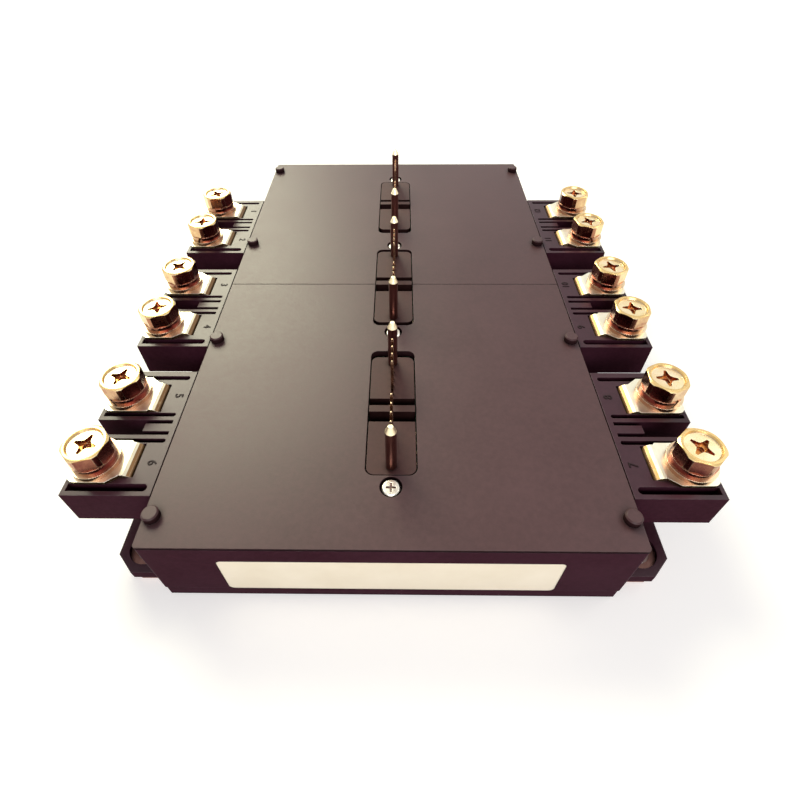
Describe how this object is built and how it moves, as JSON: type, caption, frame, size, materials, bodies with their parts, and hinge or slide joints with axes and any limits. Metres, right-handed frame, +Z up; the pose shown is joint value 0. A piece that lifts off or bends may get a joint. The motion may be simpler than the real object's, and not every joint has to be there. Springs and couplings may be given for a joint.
{
  "type": "igbt module",
  "caption": "Large six-in-one power transistor module with side screw terminals, control pin blocks and a metal base plate.",
  "frame": {"origin": "middle of the flat mounting face under the base plate", "axes": "+Z up through the lid, +Y along the module away from the blank label, +X to the right"},
  "size_m": [0.1438, 0.172, 0.0385],
  "materials": {
    "base_metal": "nickel plated, satin",
    "case_plastic": "moulded, satin",
    "lid_plastic": "moulded, fine grain",
    "block_plastic": "moulded, satin",
    "gold": "gold plated",
    "guide_brass": "polished",
    "zinc_screw": "bright zinc",
    "terminal_metal": "nickel plated, satin",
    "yellow_zinc": "yellow zinc plated",
    "board": "solder mask",
    "ceramic": "matte",
    "copper": "bare copper",
    "silicon": "dark metallised",
    "wire": "drawn",
    "label": "blank, satin"
  },
  "bodies": {
    "root": {"base_plate": "base_metal", "housing": "case_plastic", "front_lid": "lid_plastic", "rear_lid": "lid_plastic", "pin_block_1": "block_plastic", "pin_block_2": "block_plastic", "pin_block_3": "block_plastic", "signal_pins_1": "gold", "signal_pins_2": "gold", "signal_pins_3": "gold", "guide_pins": "guide_brass", "lid_screws": "zinc_screw", "terminal_1": "terminal_metal", "terminal_2": "terminal_metal", "terminal_3": "terminal_metal", "terminal_4": "terminal_metal", "terminal_5": "terminal_metal", "terminal_6": "terminal_metal", "terminal_7": "terminal_metal", "terminal_8": "terminal_metal", "terminal_9": "terminal_metal", "terminal_10": "terminal_metal", "terminal_11": "terminal_metal", "terminal_12": "terminal_metal", "terminal_nuts": "zinc_screw", "flat_washers": "yellow_zinc", "spring_washers": "yellow_zinc", "terminal_screws": "yellow_zinc", "control_board": "board", "driver_chips": "block_plastic", "link_pins": "gold", "substrate_1": "ceramic", "substrate_2": "ceramic", "substrate_3": "ceramic", "substrate_4": "ceramic", "substrate_5": "ceramic", "substrate_6": "ceramic", "copper_pads": "copper", "igbt_chips": "silicon", "diode_chips": "silicon", "bond_wires": "wire", "label_plate": "label"}
  },
  "joints": []
}
